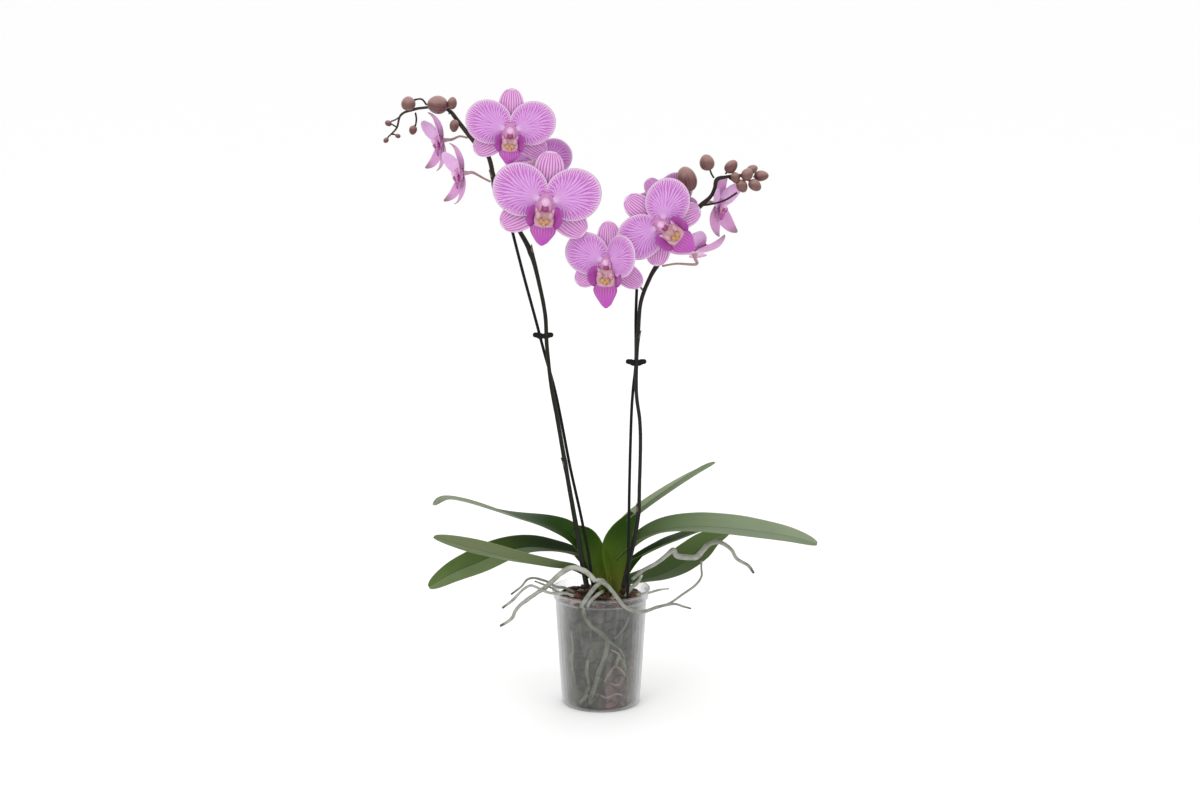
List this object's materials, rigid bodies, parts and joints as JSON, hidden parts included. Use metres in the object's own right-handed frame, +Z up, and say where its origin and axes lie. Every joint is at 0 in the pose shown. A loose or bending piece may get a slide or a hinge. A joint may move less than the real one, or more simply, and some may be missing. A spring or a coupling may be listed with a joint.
{
  "type": "potted orchid",
  "caption": "Moth orchid with two arching flower spikes on stakes, strap leaves and aerial roots, growing in a clear tapered nursery pot.",
  "frame": {"origin": "centre of the flat base of the pot, on the surface it stands on", "axes": "+Z up along the pot; the open flowers face -Y; +X is to the right seen from the front"},
  "size_m": [0.5166, 0.2092, 0.7524],
  "materials": {
    "clear_pot": "gloss",
    "bark_mix": "matte",
    "crown": "satin",
    "leaf": "satin",
    "spike": "satin",
    "black_plastic": "satin",
    "root": "matte",
    "bud": "satin",
    "sepal": "matte",
    "petal": "matte",
    "lip": "matte"
  },
  "bodies": {
    "root": {"crown": "crown", "leaf_left_front": "leaf", "leaf_left_lower": "leaf", "leaf_left_upper": "leaf", "leaf_right_long": "leaf", "leaf_right_lower": "leaf", "leaf_right_middle": "leaf", "leaf_right_upper": "leaf", "left_bud_large": "bud", "left_bud_round": "bud", "left_bud_small": "bud", "left_bud_stem": "bud", "left_clip": "black_plastic", "left_flower_1_lip": "lip", "left_flower_1_petals": "petal", "left_flower_1_sepals": "sepal", "left_flower_2_lip": "lip", "left_flower_2_petals": "petal", "left_flower_2_sepals": "sepal", "left_flower_3_lip": "lip", "left_flower_3_petals": "petal", "left_flower_3_sepals": "sepal", "left_flower_4_lip": "lip", "left_flower_4_petals": "petal", "left_flower_4_sepals": "sepal", "left_flower_5_lip": "lip", "left_flower_5_petals": "petal", "left_flower_5_sepals": "sepal", "left_spike": "spike", "left_stake": "black_plastic", "pot": "clear_pot", "potting_mix": "bark_mix", "right_bud_high": "bud", "right_bud_large": "bud", "right_bud_lower": "bud", "right_bud_tip": "bud", "right_bud_upper": "bud", "right_clip": "black_plastic", "right_flower_1_lip": "lip", "right_flower_1_petals": "petal", "right_flower_1_sepals": "sepal", "right_flower_2_lip": "lip", "right_flower_2_petals": "petal", "right_flower_2_sepals": "sepal", "right_flower_3_lip": "lip", "right_flower_3_petals": "petal", "right_flower_3_sepals": "sepal", "right_flower_4_lip": "lip", "right_flower_4_petals": "petal", "right_flower_4_sepals": "sepal", "right_flower_5_lip": "lip", "right_flower_5_petals": "petal", "right_flower_5_sepals": "sepal", "right_spike": "spike", "right_stake": "black_plastic", "root_left_arch": "root", "root_left_high": "root", "root_left_low": "root", "root_right_front": "root", "root_right_upper": "root"}
  },
  "joints": []
}
